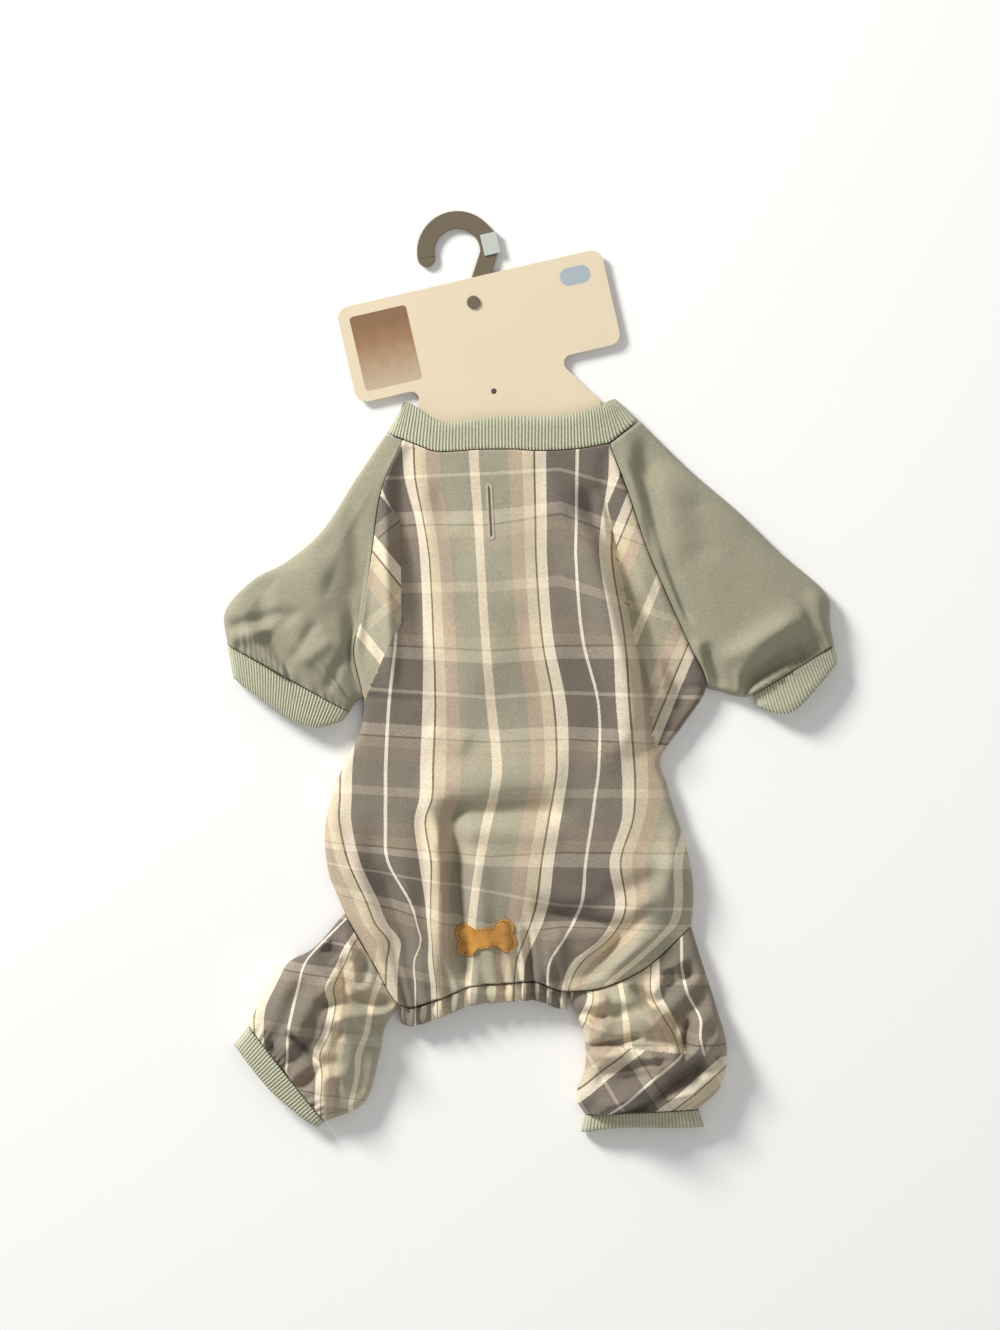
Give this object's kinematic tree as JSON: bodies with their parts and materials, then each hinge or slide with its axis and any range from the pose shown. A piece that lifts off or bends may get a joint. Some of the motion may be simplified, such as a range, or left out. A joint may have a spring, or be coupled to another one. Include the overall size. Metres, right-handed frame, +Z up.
{
  "type": "dog jumpsuit on card hanger",
  "caption": "Soft plaid dog pajama with plain raglan sleeves, rib collar and cuffs, gathered tail hem, bone patch and leash slot, lying on its card hanger with plastic hook.",
  "frame": {"origin": "Middle of the bounding box's footprint, on the surface that the garment lies on.", "axes": "+Y from the tail to the neck and the hook, +Z up out of the garment's back, +X to the right as seen from above."},
  "size_m": [0.4286, 0.644, 0.0312],
  "materials": {
    "plaid_fleece": "soft brushed plaid fleece",
    "sage_fleece": "soft brushed fleece",
    "sage_rib": "rib knit",
    "pale_thread": "stitched thread",
    "tan_leather": "semi-matte, pressed edge",
    "cream_card": "smooth uncoated card",
    "taupe_plastic": "moulded, satin",
    "pale_plastic": "moulded, translucent look"
  },
  "bodies": {
    "root": {"body": "plaid_fleece", "left_leg": "plaid_fleece", "right_leg": "plaid_fleece", "tail_hem": "plaid_fleece", "left_sleeve": "sage_fleece", "right_sleeve": "sage_fleece", "collar": "sage_rib", "left_sleeve_cuff": "sage_rib", "right_sleeve_cuff": "sage_rib", "left_leg_cuff": "sage_rib", "right_leg_cuff": "sage_rib", "leash_slot_binding": "pale_thread", "bone_patch": "tan_leather", "card": "cream_card", "hook": "taupe_plastic", "size_clip": "pale_plastic"}
  },
  "joints": []
}
